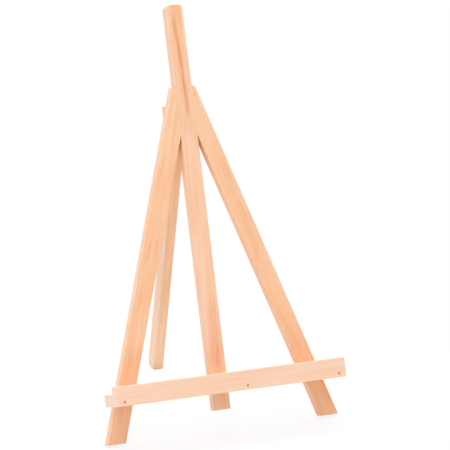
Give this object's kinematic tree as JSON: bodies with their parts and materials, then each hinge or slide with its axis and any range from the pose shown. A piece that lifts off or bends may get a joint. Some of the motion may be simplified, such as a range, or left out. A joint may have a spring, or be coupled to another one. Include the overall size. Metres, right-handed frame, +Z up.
{
  "type": "display easel",
  "caption": "Folding wooden table easel with an A-shaped front frame, a lipped ledge to stand a plate or picture on, and a rear prop leg on a pivot.",
  "frame": {"origin": "on the table, under the middle of the stand's box", "axes": "+Z up, +Y backwards from the front frame to the rear leg, +X to the right as seen from the front"},
  "size_m": [0.2556, 0.2418, 0.4196],
  "materials": {
    "upright_beech": "planed beech, bare, fine grain along the strip",
    "left_leg_beech": "planed beech, bare, slightly warmer",
    "right_leg_beech": "planed beech, bare, slightly warmer",
    "shelf_beech": "planed beech, bare, pale",
    "lip_beech": "planed beech, bare, pale pinkish",
    "cheek_beech": "planed beech, bare",
    "rear_leg_beech": "planed beech, bare",
    "dowel_beech": "turned beech",
    "pin_steel": "drawn steel pin, cut ends",
    "nail_steel": "bare steel wire, dulled brown",
    "screw_steel": "zinc plated steel"
  },
  "bodies": {
    "front_frame": {"centre_upright": "upright_beech", "left_leg": "left_leg_beech", "right_leg": "right_leg_beech", "ledge_shelf": "shelf_beech", "ledge_lip": "lip_beech", "left_cheek": "cheek_beech", "right_cheek": "cheek_beech", "pivot_pin": "pin_steel", "lip_nail_left": "nail_steel", "lip_nail_centre": "nail_steel", "lip_nail_right": "nail_steel", "shelf_screw_left": "screw_steel", "shelf_screw_centre": "screw_steel", "shelf_screw_right": "screw_steel", "upper_head_dowel": "dowel_beech", "lower_head_dowel": "dowel_beech", "left_head_brad": "nail_steel", "right_head_brad": "nail_steel", "left_cheek_nail_upper": "nail_steel", "left_cheek_nail_lower": "nail_steel", "right_cheek_nail_upper": "nail_steel", "right_cheek_nail_lower": "nail_steel"},
    "rear_leg": {"rear_leg": "rear_leg_beech"}
  },
  "joints": [
    {"name": "rear_leg_fold", "type": "hinge", "parent": "front_frame", "child": "rear_leg", "pos_m": [0, 0.04013, 0.30678], "axis": [-1, 0, 0], "range_deg": [0, 33.5]}
  ]
}
